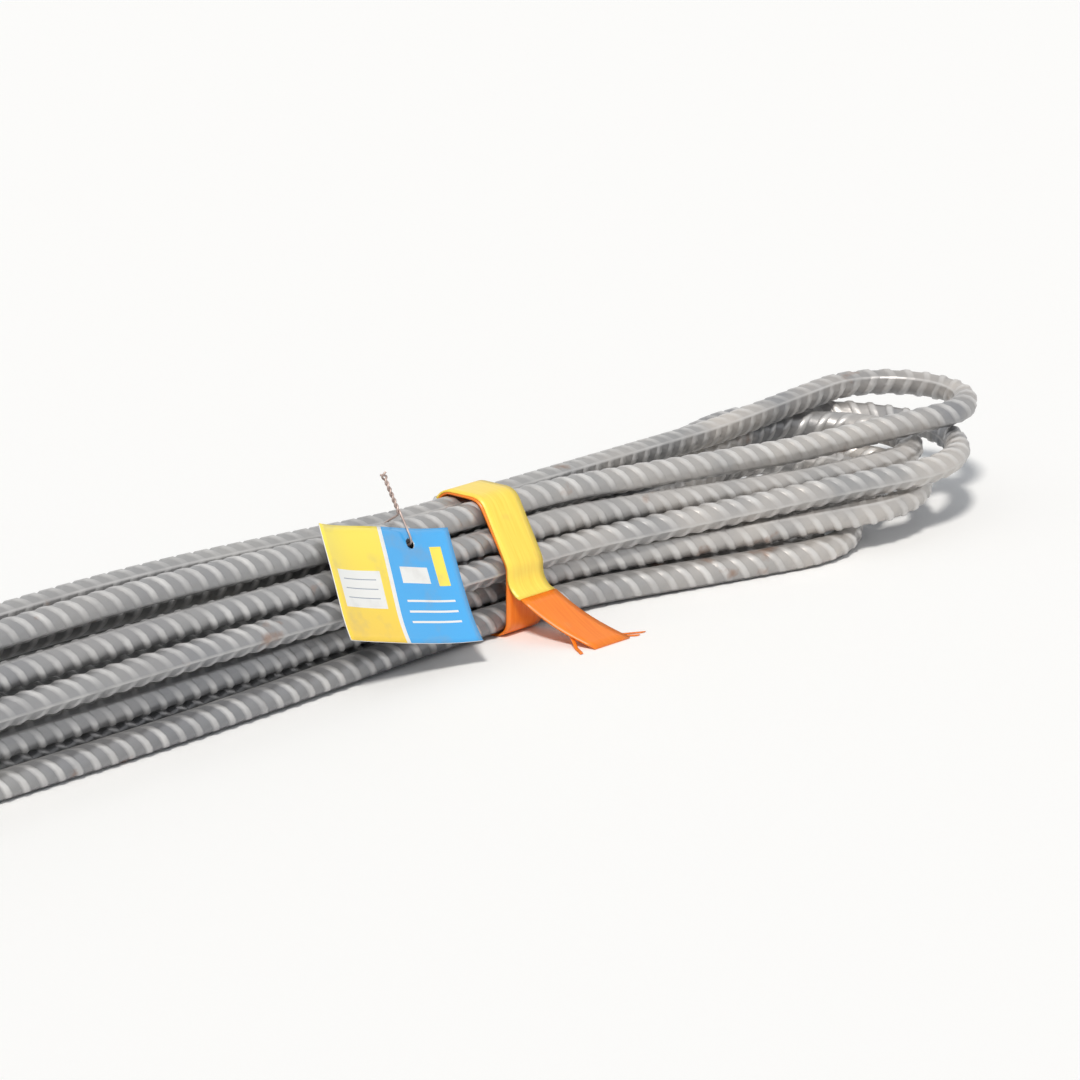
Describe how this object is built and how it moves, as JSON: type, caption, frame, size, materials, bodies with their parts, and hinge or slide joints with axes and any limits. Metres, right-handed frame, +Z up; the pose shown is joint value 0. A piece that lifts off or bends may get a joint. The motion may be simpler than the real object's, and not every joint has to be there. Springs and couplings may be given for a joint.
{
  "type": "rebar bundle",
  "caption": "Strapped bundle of ribbed steel reinforcing bars, folded in half for transport, with plastic straps, crimped seals and a tag on a wire.",
  "frame": {"origin": "on the floor, under the middle of the bundle's length and width", "axes": "+X along the bars towards their fold, +Z up, the tag on the -Y side"},
  "size_m": [6.1153, 0.114, 0.0673],
  "materials": {
    "bar_steel": "grey mill scale, semi-matt, dusty, with a few rust spots",
    "strap_plastic": "satin yellow-orange band, orange on its reverse",
    "seal_steel": "bright zinc coat",
    "tag_sheet": "printed plastic sheet",
    "wire_steel": "annealed"
  },
  "bodies": {
    "root": {"bar_1_fold": "bar_steel", "bar_1_near_leg": "bar_steel", "bar_1_far_leg": "bar_steel", "bar_2_fold": "bar_steel", "bar_2_near_leg": "bar_steel", "bar_2_far_leg": "bar_steel", "bar_3_fold": "bar_steel", "bar_3_near_leg": "bar_steel", "bar_3_far_leg": "bar_steel", "bar_4_fold": "bar_steel", "bar_4_near_leg": "bar_steel", "bar_4_far_leg": "bar_steel", "bar_5_fold": "bar_steel", "bar_5_near_leg": "bar_steel", "bar_5_far_leg": "bar_steel", "bar_6_fold": "bar_steel", "bar_6_near_leg": "bar_steel", "bar_6_far_leg": "bar_steel", "bar_7_fold": "bar_steel", "bar_7_near_leg": "bar_steel", "bar_7_far_leg": "bar_steel", "strap_1": "strap_plastic", "strap_2": "strap_plastic", "strap_3": "strap_plastic", "strap_4": "strap_plastic", "seal_1": "seal_steel", "seal_2": "seal_steel", "seal_3": "seal_steel", "seal_4": "seal_steel", "tag": "tag_sheet", "tag_wire": "wire_steel"}
  },
  "joints": []
}
